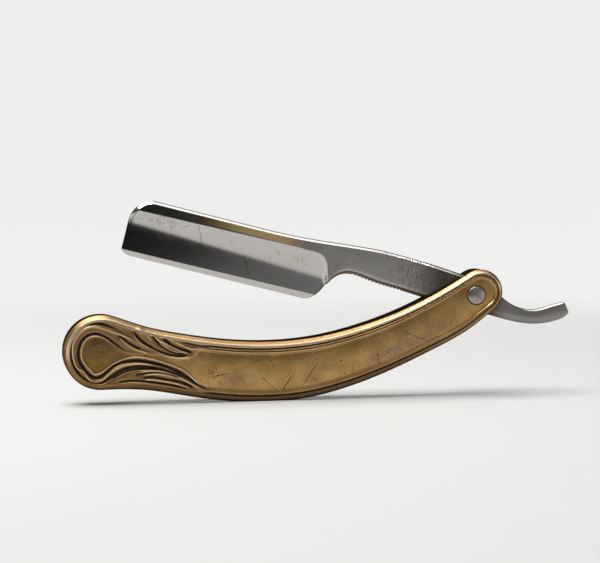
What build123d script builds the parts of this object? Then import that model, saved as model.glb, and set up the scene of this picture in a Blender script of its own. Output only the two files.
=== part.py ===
from build123d import *
import os
from math import cos, radians, sin, sqrt

os.makedirs("parts", exist_ok=True)

# A folding straight razor: a hollow-ground steel blade pivots between two cast brass
# scales, held apart by a wedge at the far end. It stands on the scales' convex edge,
# half open, as on a bench. X runs along it, Y through it and Z is up, in millimetres.
# The origin is the middle of its footprint. Outlines are drawn from the pivot.

# Pivot
pivot_x = 57.3
pivot_z = 37.55
pin_radius = 1.6
running_clearance = 0.05
head_radius = 3.3
head_height = 1.0
head_wall = 0.2

# Blade, drawn lying level with its edge down and its nose to the left
blade_tilt = -14.3
edge_z = -16.6
spine_z = 4.7
nose_x = -132.1
heel_x = -63.0
nose_half_thickness = 2.0
shoulder_half_thickness = 2.4
tang_half_thickness = 2.3
tail_half_thickness = 1.4
shoulder_x = -60.0
throat_x = -48.0
tang_x = -12.0
tail_start_x = 8.0
tail_end_x = 40.0
spine_straight_x = -90.0
nose_radius = 8.0
spine_chamfer = 1.1
hollow_top_z = 1.2
hollow_top_half_thickness = 2.36
bevel_top_z = -14.2
bevel_half_thickness = 0.45
edge_half_thickness = 0.05
grinding_wheel_radius = 40.0
grind_end_x = -66.0
grind_top_z = 3.0
shortest_spine_edge = 6.0
clear = 2.0
jimp_radius = 0.55
jimp_depth = 0.35
jimp_count = 14
jimp_start_below = 0.01
jimp_step_below = 0.0165
jimp_start_above = 0.455
jimp_step_above = 0.0135

# Handle
slot_half_at_pivot = 2.85
slot_half_at_wedge = 2.3
liner_thickness = 0.5
liner_inset = 0.8
scale_thickness = 2.4
inset_steps = 24
rim_radius = 1.0
groove_inset = 2.4
groove_width = 0.7
groove_depth = 0.45
field_inset = 4.2
field_depth = 0.4
field_left_x = -118.0
field_mask = 54.0
bulb_x = -139.5
bulb_z = -18.7
bulb_radius = 13.4
pivot_end_x = 2.1
pivot_end_z = 1.1
pivot_end_radius = 8.4

# Washers between tang and liners, and collars under the pin's heads
washer_thickness = 0.42
washer_gap = 0.03
washer_radius = 5.2
collar_radius = 3.75
collar_thickness = 0.4
collar_seat_depth = 0.55

# Wedge
wedge_reach = 134.0
wedge_inset = 1.0
wedge_pin_x = -139.9
wedge_pin_z = -17.9
wedge_pin_radius = 1.1
wedge_head_radius = 1.5
wedge_head_depth = 0.5

past_everything = 300.0


def direction(angle):
    return Vector(cos(radians(angle)), sin(radians(angle)))


# Planes. The side plane looks at the razor from the front, and the blade's planes are
# turned to the angle that it is opened to. Each scale leans in towards the wedge.
pivot_point = Vector(pivot_x, 0, pivot_z)
pivot_axis = Axis(pivot_point, (0, 1, 0))
blade_along = Vector(cos(radians(blade_tilt)), 0, sin(radians(blade_tilt)))
blade_up = Vector(-sin(radians(blade_tilt)), 0, cos(radians(blade_tilt)))
side_plane = Plane(origin=pivot_point, x_dir=(1, 0, 0), z_dir=(0, -1, 0))
turning_plane = Plane(origin=pivot_point, x_dir=(1, 0, 0), z_dir=(0, 0, 1))
blade_side = Plane(origin=pivot_point, x_dir=blade_along, z_dir=(0, -1, 0))
blade_top = Plane(origin=pivot_point, x_dir=blade_along, z_dir=blade_up)
blade_section = Plane(origin=pivot_point, x_dir=(0, -1, 0), z_dir=-blade_along)

slot_slope = (slot_half_at_pivot - slot_half_at_wedge) / -bulb_x
slot_wall = pivot_point - Vector(0, slot_half_at_pivot, 0)
outward = Vector(-slot_slope, -1, 0).normalized()


def front_plane(distance):
    # Parallel to the front liner's inner face, this far outside it
    return Plane(origin=slot_wall + outward * distance, x_dir=(1, -slot_slope, 0), z_dir=outward)


# Scale outline: round bulb, concave upper edge, round pivot end, convex lower edge
bulb_centre = Vector(bulb_x, bulb_z)
bulb_top = bulb_centre + direction(75) * bulb_radius
bulb_left = bulb_centre + direction(170) * bulb_radius
bulb_bottom = bulb_centre + direction(-88) * bulb_radius
pivot_end_centre = Vector(pivot_end_x, pivot_end_z)
end_top = pivot_end_centre + direction(121) * pivot_end_radius
end_right = pivot_end_centre + direction(35) * pivot_end_radius
end_bottom = pivot_end_centre + direction(-54) * pivot_end_radius

with BuildLine() as upper_edge:
    Spline(
        bulb_top,
        (-125.6, -9.3),
        (-109.0, -13.1),
        (-91.1, -15.5),
        (-74.5, -15.9),
        (-59.5, -14.4),
        (-44.4, -10.9),
        (-29.2, -5.7),
        (-14.0, 1.5),
        end_top,
        tangents=[direction(-15), direction(31)],
    )

with BuildLine() as pivot_end:
    ThreePointArc(end_top, end_right, end_bottom)

with BuildLine() as lower_edge:
    Spline(
        end_bottom,
        (-0.5, -11.4),
        (-16.9, -20.3),
        (-35.2, -28.4),
        (-53.4, -34.5),
        (-67.0, -37.2),
        (-81.2, -37.9),
        (-96.7, -36.9),
        (-111.4, -34.5),
        (-122.0, -32.7),
        bulb_bottom,
        tangents=[direction(-144), direction(-178)],
    )

with BuildLine() as bulb:
    ThreePointArc(bulb_bottom, bulb_left, bulb_top)

scale_curves = (upper_edge, pivot_end, lower_edge, bulb)

with BuildSketch() as scale_outline:
    with BuildLine():
        for curve in scale_curves:
            add(curve.line)
    make_face()


def inset_outline(inset):
    # The scale's outline moved inwards by the same distance all round
    with BuildSketch() as outline:
        with BuildLine():
            for curve in scale_curves:
                moved = []
                for step in range(inset_steps + 1):
                    along = curve.line % (step / inset_steps)
                    point = curve.line @ (step / inset_steps)
                    moved.append(point + Vector(along.Y, -along.X) * inset)
                if curve in (pivot_end, bulb):
                    ThreePointArc(moved[0], moved[inset_steps // 2], moved[-1])
                else:
                    Spline(*moved, tangents=[curve.line % 0, curve.line % 1])
        make_face()
    return outline.sketch


with BuildSketch() as groove_outline:
    add(inset_outline(groove_inset))
    add(inset_outline(groove_inset + groove_width), mode=Mode.SUBTRACT)

# The sunk field runs from beside the bulb to round the pivot.
with BuildSketch() as field_outline:
    add(inset_outline(field_inset))
    with Locations((field_left_x, bulb_z)):
        Rectangle(field_mask, field_mask, align=(Align.MAX, Align.CENTER), mode=Mode.SUBTRACT)

with BuildSketch() as pin_holes:
    Circle(pin_radius)
    with Locations((wedge_pin_x, wedge_pin_z)):
        Circle(wedge_pin_radius)

# Pivot pin, with a domed head peened at each end
collar_seat = slot_half_at_pivot + liner_thickness + scale_thickness - collar_seat_depth
head_seat = collar_seat + collar_thickness

with BuildPart() as pivot_pin:
    with BuildSketch(turning_plane):
        with BuildLine():
            Polyline(
                (0, head_seat + head_height),
                (0, 0),
                (pin_radius, 0),
                (pin_radius, head_seat),
                (head_radius, head_seat),
                (head_radius, head_seat + head_wall),
            )
            TangentArc(
                (0, head_seat + head_height),
                (head_radius, head_seat + head_wall),
                tangent=(1, 0),
            )
        make_face()
    revolve(axis=pivot_axis)
    mirror(about=Plane.XZ)

# Wedge pin, peened flush into countersinks in both scales
wedge_head_seat = slot_half_at_wedge + liner_thickness + scale_thickness - wedge_head_depth
wedge_pin_point = pivot_point + Vector(wedge_pin_x, 0, wedge_pin_z)

with BuildPart() as wedge_pin:
    with BuildSketch(Plane(origin=wedge_pin_point, x_dir=(1, 0, 0), z_dir=(0, 0, 1))):
        with BuildLine():
            Polyline(
                (0, 0),
                (wedge_pin_radius, 0),
                (wedge_pin_radius, wedge_head_seat),
                (wedge_head_radius, wedge_head_seat),
                (wedge_head_radius, wedge_head_seat + wedge_head_depth),
                (0, wedge_head_seat + wedge_head_depth),
                close=True,
            )
        make_face()
    revolve(axis=Axis(wedge_pin_point, (0, 1, 0)))
    mirror(about=Plane.XZ)

with BuildPart() as front_scale:
    with BuildSketch(front_plane(liner_thickness)):
        add(scale_outline.sketch)
    extrude(amount=scale_thickness)
    fillet(front_scale.faces().sort_by(Axis.Y)[0].edges(), radius=rim_radius)
    with BuildSketch(front_plane(liner_thickness + scale_thickness)):
        add(field_outline.sketch)
    extrude(amount=-field_depth, mode=Mode.SUBTRACT)
    with BuildSketch(front_plane(liner_thickness + scale_thickness)):
        add(groove_outline.sketch)
    extrude(amount=-groove_depth, mode=Mode.SUBTRACT)
    with BuildSketch(side_plane):
        add(pin_holes.sketch)
    extrude(amount=past_everything, mode=Mode.SUBTRACT)
    with BuildSketch(side_plane.offset(collar_seat)):
        Circle(collar_radius)
    extrude(amount=past_everything, mode=Mode.SUBTRACT)
    with BuildSketch(side_plane.offset(wedge_head_seat)):
        with Locations((wedge_pin_x, wedge_pin_z)):
            Circle(wedge_head_radius)
    extrude(amount=past_everything, mode=Mode.SUBTRACT)
    # Worn flat where it stands
    with BuildSketch(Plane.XY):
        Rectangle(past_everything, past_everything)
    extrude(amount=-past_everything, mode=Mode.SUBTRACT)

with BuildPart() as front_liner:
    with BuildSketch(front_plane(0)):
        add(inset_outline(liner_inset))
    extrude(amount=liner_thickness)
    with BuildSketch(side_plane):
        add(pin_holes.sketch)
    extrude(amount=past_everything, mode=Mode.SUBTRACT)

with BuildPart() as front_washer:
    with BuildSketch(side_plane.offset(slot_half_at_pivot - washer_gap)):
        Circle(washer_radius)
        Circle(pin_radius, mode=Mode.SUBTRACT)
    extrude(amount=-washer_thickness)

with BuildPart() as front_collar:
    with BuildSketch(side_plane.offset(collar_seat)):
        Circle(collar_radius)
        Circle(pin_radius, mode=Mode.SUBTRACT)
    extrude(amount=collar_thickness)

with BuildPart() as rear_scale:
    mirror(front_scale.part, about=Plane.XZ)

with BuildPart() as rear_liner:
    mirror(front_liner.part, about=Plane.XZ)

with BuildPart() as rear_washer:
    mirror(front_washer.part, about=Plane.XZ)

with BuildPart() as rear_collar:
    mirror(front_collar.part, about=Plane.XZ)

# Wedge: a crescent that fills the bulb beyond the blade's nose
with BuildPart() as wedge:
    with BuildSketch(side_plane):
        with Locations(bulb_centre):
            Circle(bulb_radius - wedge_inset)
        Circle(wedge_reach, mode=Mode.SUBTRACT)
        add(pin_holes.sketch, mode=Mode.SUBTRACT)
    extrude(amount=slot_half_at_pivot)
    split(bisect_by=front_plane(0), keep=Keep.BOTTOM)
    mirror(about=Plane.XZ)

# Blade: nose, spine, tang and tail in one forging
spine_start = (nose_x + nose_radius, spine_z)
spine_end = (spine_straight_x, spine_z)
nose_shoulder = (nose_x + 2.4, 1.9)
nose_top = (nose_x, -5.0)
nose_bottom = (nose_x, edge_z + 2.4)
nose_corner = (nose_x + 1.1, edge_z + 0.75)
edge_start = (nose_x + 4.2, edge_z)
edge_end = (heel_x, edge_z)
tang_throat = (-47.5, -3.7)
tail_bottom = (38.1, 0.7)
tail_tip = (38.9, 2.5)
tail_top = (35.7, 5.6)

with BuildLine() as underside:
    Spline(
        tang_throat,
        (-39.3, -4.5),
        (-27.0, -5.1),
        (-12.0, -5.9),
        (6.0, -5.9),
        (20.5, -6.0),
        (28.1, -4.7),
        (35.2, -1.6),
        tail_bottom,
        tangents=[direction(0), direction(45)],
    )

with BuildLine() as topside:
    Spline(
        tail_top,
        (31.2, 3.2),
        (26.6, 0.7),
        (21.2, -0.5),
        (15.5, 0.1),
        (9.5, 2.6),
        (1.0, 5.3),
        (-10.0, 6.6),
        (-22.3, 7.4),
        (-34.3, 7.7),
        (-46.1, 7.1),
        (-61.4, 5.7),
        (-74.0, 4.9),
        spine_end,
        tangents=[direction(-150), direction(180)],
    )

with BuildPart() as blade:
    with BuildSketch(blade_side):
        with BuildLine():
            Line(spine_end, spine_start)
            Spline(spine_start, nose_shoulder, nose_top, tangents=[direction(180), direction(-90)])
            Line(nose_top, nose_bottom)
            Spline(nose_bottom, nose_corner, edge_start, tangents=[direction(-90), direction(0)])
            Line(edge_start, edge_end)
            Spline(
                edge_end,
                (-60.2, -15.6),
                (-57.1, -12.0),
                (-54.6, -7.4),
                (-51.3, -4.6),
                tang_throat,
                tangents=[direction(0), direction(0)],
            )
            add(underside.line)
            Line(tail_bottom, tail_tip)
            Line(tail_tip, tail_top)
            add(topside.line)
        make_face()
    extrude(amount=shoulder_half_thickness, both=True)
    # Seen from above, it swells to the shoulder and thins to the nose and the tail.
    with BuildSketch(blade_top):
        with BuildLine():
            Polyline(
                (nose_x - clear, 0),
                (nose_x - clear, nose_half_thickness),
                (shoulder_x, shoulder_half_thickness),
                (throat_x, shoulder_half_thickness),
                (tang_x, tang_half_thickness),
                (tail_start_x, tang_half_thickness),
                (tail_end_x, tail_half_thickness),
                (tail_end_x, 0),
                close=True,
            )
        make_face()
        mirror(about=Plane.XZ)
    extrude(amount=past_everything, both=True, mode=Mode.INTERSECT)
    chamfer(
        blade.edges().filter_by(
            lambda edge: blade_side.to_local_coords(edge.center()).Y > 0
            and nose_x - clear < blade_side.to_local_coords(edge.center()).X < 0
            and edge.length > shortest_spine_edge
        ),
        length=spine_chamfer,
    )

# Hollow grind, as a wheel leaves it: one big radius down to a thin belly, a honed bevel
# below that, and a rounded end at the shoulder.
grind_top = Vector(hollow_top_half_thickness, hollow_top_z)
grind_bottom = Vector(bevel_half_thickness, bevel_top_z)
grind_nose = (nose_x + 0.2, -6.0)
grind_crown = (nose_x + nose_radius, 1.0)
chord = grind_bottom - grind_top
wheel_offset = sqrt(grinding_wheel_radius**2 - (chord.length / 2) ** 2)
wheel_centre = (grind_top + grind_bottom) * 0.5 + Vector(-chord.Y, chord.X).normalized() * wheel_offset

with BuildPart() as grind:
    with BuildSketch(blade_section.offset(-throat_x)):
        with Locations(wheel_centre):
            Circle(grinding_wheel_radius)
        with BuildLine():
            Polyline(
                (bevel_half_thickness, bevel_top_z),
                (edge_half_thickness, edge_z),
                (edge_half_thickness, edge_z - clear),
                (bevel_half_thickness + 2 * clear, edge_z - clear),
                (bevel_half_thickness + 2 * clear, bevel_top_z + clear / 2),
                close=True,
            )
        make_face()
    extrude(amount=-nose_x)
    with BuildSketch(blade_side):
        with BuildLine():
            Spline(
                (grind_end_x, grind_top_z),
                (-60.2, -0.2),
                (-57.6, -4.5),
                (-57.6, -9.0),
                (-60.0, -13.5),
                (heel_x - clear, edge_z - clear),
                tangents=[direction(-10), direction(-140)],
            )
            Polyline(
                (heel_x - clear, edge_z - clear),
                (nose_x - clear, edge_z - clear),
                (nose_x - clear, -8.0),
                grind_nose,
            )
            ThreePointArc(grind_nose, (nose_x + 2.8, -0.8), grind_crown)
            Polyline(grind_crown, (nose_x + nose_radius, grind_top_z), (grind_end_x, grind_top_z))
        make_face()
    extrude(amount=past_everything, mode=Mode.INTERSECT)

with BuildPart() as razor_blade:
    add(blade.part)
    add(grind.part, mode=Mode.SUBTRACT)
    add(mirror(grind.part, about=Plane.XZ), mode=Mode.SUBTRACT)
    # Pivot hole, a running fit on the pin
    with BuildSketch(blade_side):
        Circle(pin_radius + running_clearance)
    extrude(amount=past_everything, both=True, mode=Mode.SUBTRACT)
    # Thumb notches across the tang, above and below
    with BuildSketch(blade_side):
        for index in range(jimp_count):
            below = underside.line @ (jimp_start_below + index * jimp_step_below)
            above = topside.line @ (jimp_start_above + index * jimp_step_above)
            with Locations(
                below - Vector(0, jimp_radius - jimp_depth),
                above + Vector(0, jimp_radius - jimp_depth),
            ):
                Circle(jimp_radius)
    extrude(amount=past_everything, both=True, mode=Mode.SUBTRACT)

razor_blade.part.label = "razor_blade"
front_scale.part.label = "front_scale"
rear_scale.part.label = "rear_scale"
front_liner.part.label = "front_liner"
rear_liner.part.label = "rear_liner"
wedge.part.label = "wedge"
wedge_pin.part.label = "wedge_pin"
pivot_pin.part.label = "pivot_pin"
front_washer.part.label = "front_washer"
rear_washer.part.label = "rear_washer"
front_collar.part.label = "front_collar"
rear_collar.part.label = "rear_collar"

export_step(razor_blade.part, "parts/razor_blade.step")
export_step(front_scale.part, "parts/front_scale.step")
export_step(rear_scale.part, "parts/rear_scale.step")
export_step(front_liner.part, "parts/front_liner.step")
export_step(rear_liner.part, "parts/rear_liner.step")
export_step(wedge.part, "parts/wedge.step")
export_step(wedge_pin.part, "parts/wedge_pin.step")
export_step(pivot_pin.part, "parts/pivot_pin.step")
export_step(front_washer.part, "parts/front_washer.step")
export_step(rear_washer.part, "parts/rear_washer.step")
export_step(front_collar.part, "parts/front_collar.step")
export_step(rear_collar.part, "parts/rear_collar.step")
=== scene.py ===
import math
import bmesh
import bpy
import numpy as np
from mathutils import Matrix, Vector


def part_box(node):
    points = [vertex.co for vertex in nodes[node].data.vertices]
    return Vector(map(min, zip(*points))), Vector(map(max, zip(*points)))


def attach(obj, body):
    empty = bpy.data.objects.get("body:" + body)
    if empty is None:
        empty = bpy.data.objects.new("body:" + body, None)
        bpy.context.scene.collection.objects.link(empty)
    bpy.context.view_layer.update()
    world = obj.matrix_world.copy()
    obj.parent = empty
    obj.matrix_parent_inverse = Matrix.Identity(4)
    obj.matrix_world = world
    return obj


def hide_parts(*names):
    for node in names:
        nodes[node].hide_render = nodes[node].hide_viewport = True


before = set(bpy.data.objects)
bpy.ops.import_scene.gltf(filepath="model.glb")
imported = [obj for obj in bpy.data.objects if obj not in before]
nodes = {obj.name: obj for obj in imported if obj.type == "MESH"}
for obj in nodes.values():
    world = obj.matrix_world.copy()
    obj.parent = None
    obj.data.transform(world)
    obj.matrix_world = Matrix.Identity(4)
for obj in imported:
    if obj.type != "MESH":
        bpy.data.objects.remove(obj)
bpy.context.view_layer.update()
mm = 0.001


def middle(node):
    low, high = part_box(node)
    return (low + high) / 2


pivot = middle("pivot_pin")
wedgePin = middle("wedge_pin") - pivot
print("frame loaded")


class Wire:
    # One output socket. Arithmetic on it adds the Math nodes.
    def __init__(self, finish, socket):
        self.finish = finish
        self.socket = socket

    def maths(self, operation, first, second):
        return self.finish.node("ShaderNodeMath", {"operation": operation}, {0: first, 1: second})

    def __add__(self, other):
        return self.maths("ADD", self, other)

    def __radd__(self, other):
        return self.maths("ADD", other, self)

    def __sub__(self, other):
        return self.maths("SUBTRACT", self, other)

    def __rsub__(self, other):
        return self.maths("SUBTRACT", other, self)

    def __mul__(self, other):
        return self.maths("MULTIPLY", self, other)

    def __rmul__(self, other):
        return self.maths("MULTIPLY", other, self)


class Finish:
    # The nodes of one material, or of the sky
    def __init__(self, owner):
        self.owner = owner
        self.owner.use_nodes = True
        self.tree = self.owner.node_tree
        self.tree.nodes.clear()

    def node(self, kind, settings=None, inputs=None, output=0):
        made = self.tree.nodes.new(kind)
        for name, value in (settings or {}).items():
            if name == "stops":
                self.setStops(made.color_ramp, value)
            else:
                setattr(made, name, value)
        for name, value in (inputs or {}).items():
            if isinstance(value, Wire):
                self.tree.links.new(value.socket, made.inputs[name])
            else:
                made.inputs[name].default_value = value
        return Wire(self, made.outputs[output]) if made.outputs else None

    def setStops(self, ramp, stops):
        while len(ramp.elements) < len(stops):
            ramp.elements.new(1.0)
        for element, (place, colour) in zip(ramp.elements, stops):
            element.position = place
            element.color = (*colour, 1.0)

    def place(self, turn=0.0, stretch=(1, 1, 1)):
        # The piece's own coordinates in millimetres, turned about Y through the pivot
        here = self.node("ShaderNodeTexCoord", output="Object")
        moved = self.node(
            "ShaderNodeMapping",
            {"vector_type": "TEXTURE"},
            {"Vector": here, "Location": pivot, "Rotation": (0, turn, 0), "Scale": (mm, mm, mm)},
        )
        return self.vector("MULTIPLY", {0: moved, 1: stretch})

    def split(self, place, axis):
        return self.node("ShaderNodeSeparateXYZ", None, {0: place}, axis)

    def mark(self, name):
        return self.node("ShaderNodeAttribute", {"attribute_name": name}, output="Fac")

    def noise(self, place, scale, detail=3.0, roughness=0.55, seed=0.0):
        values = {"Vector": place, "W": seed, "Scale": scale, "Detail": detail, "Roughness": roughness}
        return self.node("ShaderNodeTexNoise", {"noise_dimensions": "4D"}, values)

    def between(self, value, low, high, fromZero=0.0, toOne=1.0):
        # 0 below low and 1 above high, with a soft step, and the other way round if low is above high
        return self.node(
            "ShaderNodeMapRange",
            {"interpolation_type": "SMOOTHSTEP"},
            {"Value": value, "From Min": low, "From Max": high, "To Min": fromZero, "To Max": toOne},
        )

    def paint(self, under, over, amount):
        return self.node(
            "ShaderNodeMix",
            {"data_type": "RGBA"},
            {"Factor": amount, 6: colour(under), 7: colour(over)},
            2,
        )

    def pits(self, place, size, share, seed=0.0):
        # Small round marks, 1 in the marks and 0 between them
        spots = self.node(
            "ShaderNodeTexVoronoi",
            {"voronoi_dimensions": "4D"},
            {"Vector": place, "W": seed, "Scale": 1 / size, "Randomness": 1.0},
        )
        return self.between(spots, share, share * 0.45)

    def scratches(self, angle, length, width, share, seed):
        # Fine lines, all near one angle: a noise drawn out along it, cut at its ridges
        drawn = self.place(math.radians(angle), (1 / length, 1 / length, 1 / width))
        ridge = self.noise(drawn, 1.0, 1.0, 0.4, seed)
        away = self.maths("ABSOLUTE", ridge - 0.5)
        patches = self.noise(self.place(), 0.09, 2.0, 0.5, seed + 5)
        return self.between(away, 0.006, 0.001) * self.between(patches, 1 - share, 1.02 - share)

    def gash(self, place, wander, start, end, width):
        # One scratch, thinner towards its ends and a little crooked
        sway = 1.2
        way = Vector((end[0] - start[0], 0, end[1] - start[1]))
        fromStart = (-start[0] - sway / 2, 0, -start[1] - sway / 2)
        crooked = self.vector("MULTIPLY_ADD", {0: wander, 1: (sway, 0, sway), 2: fromStart})
        flat = self.vector("MULTIPLY_ADD", {0: place, 1: (1, 0, 1), 2: crooked})
        along = self.vector("DOT_PRODUCT", {0: flat, 1: tuple(way / way.length_squared)}, "Value")
        foot = self.vector("SCALE", {0: tuple(way), "Scale": limited(along)})
        away = self.vector("DISTANCE", {0: flat, 1: foot}, "Value")
        taper = self.between(self.maths("ABSOLUTE", along - 0.5), 0.5, 0.2, 0.3, 1.0)
        return self.between(away - taper * width, 0.12, -0.08)

    def maths(self, operation, value):
        return self.node("ShaderNodeMath", {"operation": operation}, {0: value})

    def vector(self, operation, inputs, output=0):
        return self.node("ShaderNodeVectorMath", {"operation": operation}, inputs, output)

    def bumpy(self, height, distance, strength=1.0, under=None):
        values = {"Height": height, "Distance": distance * mm, "Strength": strength}
        if under:
            values["Normal"] = under
        return self.node("ShaderNodeBump", None, values)

    def surface(self, **values):
        inputs = {name: colour(value) for name, value in values.items()}
        shader = self.node("ShaderNodeBsdfPrincipled", None, inputs)
        self.node("ShaderNodeOutputMaterial", None, {"Surface": shader})
        return self.owner


def colour(value):
    # A colour gets its alpha, and a number or a wire stays as it is
    return (*value, 1.0) if isinstance(value, tuple) else value


def limited(value):
    return value.finish.node("ShaderNodeClamp", None, {"Value": value})


# Aged brass, for the scales and the wedge pin. Places on them are in millimetres from the pivot.
brassLook = {
    "gold": (0.54, 0.325, 0.125),
    "olive": (0.27, 0.150, 0.034),
    "stain": (0.08, 0.05, 0.035),
    "mauve": (0.27, 0.18, 0.12),
    "brown": (0.27, 0.165, 0.085),
    "shade": (0.085, 0.052, 0.028),
    "dirtAndShade": (0.010, 0.0065, 0.0045),
    "worn": (1.0, 0.74, 0.44),
    "rubbed": (0.80, 0.61, 0.385),
    "roughness": 0.29,
    "coverage": 0.8,
    # The deepest scratches: start, end, width
    "gashes": [
        ((-74.5, -34.9), (-69.7, -27.6), 0.17),
        ((-67.1, -33.5), (-59.7, -22.4), 0.15),
        ((-38.2, -18.4), (-37.1, -25.7), 0.18),
        ((-30.0, -12.1), (-17.8, -17.3), 0.17),
        ((-47.8, -23.9), (-47.1, -28.7), 0.14),
        ((-100.9, -28.4), (-93.4, -27.0), 0.18),
        ((-101.2, -25.0), (-98.6, -28.8), 0.15),
        ((-139.95, -18.0), (-139.85, -17.8), 0.22),
    ],
}


def agedBrass(look):
    finish = Finish(bpy.data.materials.new("agedBrass"))
    here = finish.place()
    groove = finish.mark("groove")
    ridge = finish.mark("ridge")
    cast = finish.mark("cast")
    edge = finish.mark("edge")
    cloud = finish.noise(here, 0.14, 4.0, 0.6, 1.0)
    fine = finish.noise(here, 1.6, 4.0, 0.65, 2.0)
    blotch = finish.noise(here, 0.32, 5.0, 0.7, 3.0)
    # Gold where it faces forwards, painted shade in olive where it faces up and over the bulb, and clouded
    # all over
    clouds = finish.between(cloud + fine * 0.18, 0.72, 0.5, 0.0, 0.4)
    cloudsAndUpperShade = limited(finish.mark("upper") * 0.85 + clouds)
    metal = finish.paint(look["gold"], look["olive"], cloudsAndUpperShade)
    # Stains, pits and freckles
    inStains = finish.mark("stained") * finish.between(blotch, 0.34, 0.56)
    stained = limited(inStains + finish.between(blotch, 0.64, 0.8) * 0.6)
    metal = finish.paint(metal, look["mauve"], stained * look["coverage"])
    patches = finish.noise(here, 0.5, 2.0, 0.5, 8.0)
    scuffed = finish.mark("scuffed")
    largePits = finish.pits(here, 2.0, 0.22, 4.0) * finish.between(patches + scuffed * 0.3, 0.4, 0.5)
    smallPits = finish.pits(here, 1.0, 0.26, 5.0) * finish.between(patches - scuffed * 0.4, 0.56, 0.44)
    specks = limited(largePits + smallPits)
    freckles = finish.between(finish.noise(here, 2.6, 3.0, 0.6, 6.0) + scuffed * 0.12, 0.6, 0.7)
    metal = finish.paint(metal, look["stain"], limited(freckles * 0.6 + specks * 0.9))
    # Scratches, broken up along their length
    rising = finish.scratches(38, 34, 1.6, 0.42, 11.0)
    falling = finish.scratches(-62, 30, 1.7, 0.42, 13.0)
    lines = limited(rising + falling) * 0.7
    wander = finish.noise(here, 0.9, 2.0, 0.6, 14.0)
    for start, end, width in look["gashes"]:
        lines = lines + finish.gash(here, wander, start, end, width)
    lines = limited(lines) * finish.between(finish.noise(here, 1.3, 2.0, 0.6, 16.0), 0.3, 0.5)
    metal = finish.paint(metal, look["stain"], lines * 0.8)
    # What lies on the shape: brown cast leaves with painted shade on the outer slope and the lower side of
    # the rim, a painted highlight on the upper rim, worn ridges, painted shade and dirt in the grooves, and
    # painted shade on the walls
    metal = finish.paint(metal, look["brown"], cast * finish.between(fine, 0.25, 0.7, 0.35, 0.9))
    # Painted highlight in cream on the upper part of the rim bead
    rubbed = finish.mark("rubbed") * finish.between(fine, 0.2, 0.6, 0.6, 1.0)
    metal = finish.paint(metal, look["rubbed"], rubbed)
    # Painted shade in the grooves, in the sunk cartouche and along the lower rim
    metal = finish.paint(metal, look["shade"], finish.between(groove, 0.02, 0.55))
    worn = finish.between(ridge + fine * 0.5 - groove * 0.4, 0.55, 1.2, 0.0, 0.75)
    metal = finish.paint(metal, look["worn"], worn)
    # Dirt in the grooves, and painted shade on the walls and under the lower rim
    dirtAndShade = finish.between(groove, 0.3, 0.95) * (0.8 + fine * 0.4) + edge * 0.85
    metal = finish.paint(metal, look["dirtAndShade"], limited(dirtAndShade))
    rough = look["roughness"] + fine * 0.12 + stained * 0.12 + groove * 0.4 + specks * 0.2 + cast * 0.08
    relief = finish.bumpy(fine * 0.3 - specks - lines - freckles * 0.25, 0.06)
    relief = finish.bumpy(cloud, 0.3, 0.4, relief)
    return finish.surface(**{
        "Base Color": metal,
        "Metallic": finish.between(groove, 1.0, 0.3, 0.25, 1.0),
        "Roughness": limited(rough),
        "Normal": relief,
    })


# Blade steel. Places on it are in millimetres along the blade and up from the pivot.
steelLook = {
    "bright": (0.53, 0.51, 0.485),
    "grey": (0.40, 0.385, 0.37),
    "brown": (0.13, 0.085, 0.045),
    "rust": (0.20, 0.13, 0.085),
    "patina": (0.085, 0.065, 0.042),
    "bronze": (0.17, 0.115, 0.06),
    "gold": (1.0, 0.70, 0.33),
    "tail": (0.20, 0.19, 0.18),
    "bare": (0.86, 0.84, 0.81),
    "outline": (0.07, 0.065, 0.06),
    "polished": 0.085,
    "satin": 0.31,
    "gashes": [
        ((-109.6, 4.0), (-101.8, -10.3), 0.12),
        ((-77.0, -1.5), (-74.6, -3.6), 0.12),
        ((-112.6, -2.2), (-110.5, -0.6), 0.14),
    ],
}


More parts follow.
